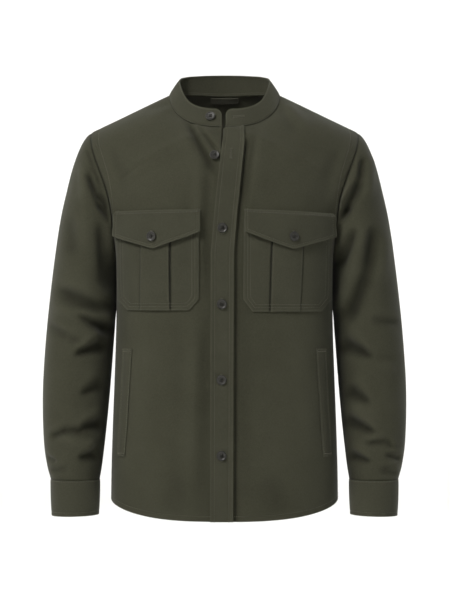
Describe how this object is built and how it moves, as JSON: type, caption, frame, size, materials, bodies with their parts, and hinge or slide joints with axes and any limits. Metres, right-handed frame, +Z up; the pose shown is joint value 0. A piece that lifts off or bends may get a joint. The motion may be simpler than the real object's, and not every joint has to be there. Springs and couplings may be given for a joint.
{
  "type": "shirt jacket",
  "caption": "Worn-shape cotton twill shirt jacket with a band collar, button placket, flapped box-pleat chest pockets, slanted side welts and buttoned cuffs.",
  "frame": {"origin": "in the middle of the neck base, between the two shoulder high points and 3 mm below them, where the wearer's shoulders carry the jacket", "axes": "+Z up, -Y out of the front, +X to the wearer's left"},
  "size_m": [0.6186, 0.2391, 0.756],
  "materials": {
    "twill_body": "matte dark olive cotton twill, brushed soft",
    "twill_trim": "matte dark olive cotton twill in two stitched layers",
    "loop_tape": "matte folded twill tape",
    "button": "polished dark urea, four holes"
  },
  "bodies": {
    "root": {"back": "twill_body", "button_collar": "button", "button_cuff_left": "button", "button_cuff_right": "button", "button_flap_left": "button", "button_flap_right": "button", "button_front_1": "button", "button_front_2": "button", "button_front_3": "button", "button_front_4": "button", "button_front_5": "button", "collar_band": "twill_trim", "cuff_left": "twill_trim", "cuff_right": "twill_trim", "flap_left": "twill_trim", "flap_right": "twill_trim", "front_left": "twill_body", "front_right": "twill_body", "hanger_loop": "loop_tape", "placket": "twill_trim", "pocket_left": "twill_trim", "pocket_right": "twill_trim", "sleeve_left": "twill_body", "sleeve_right": "twill_body", "welt_left": "twill_trim", "welt_right": "twill_trim"}
  },
  "joints": []
}
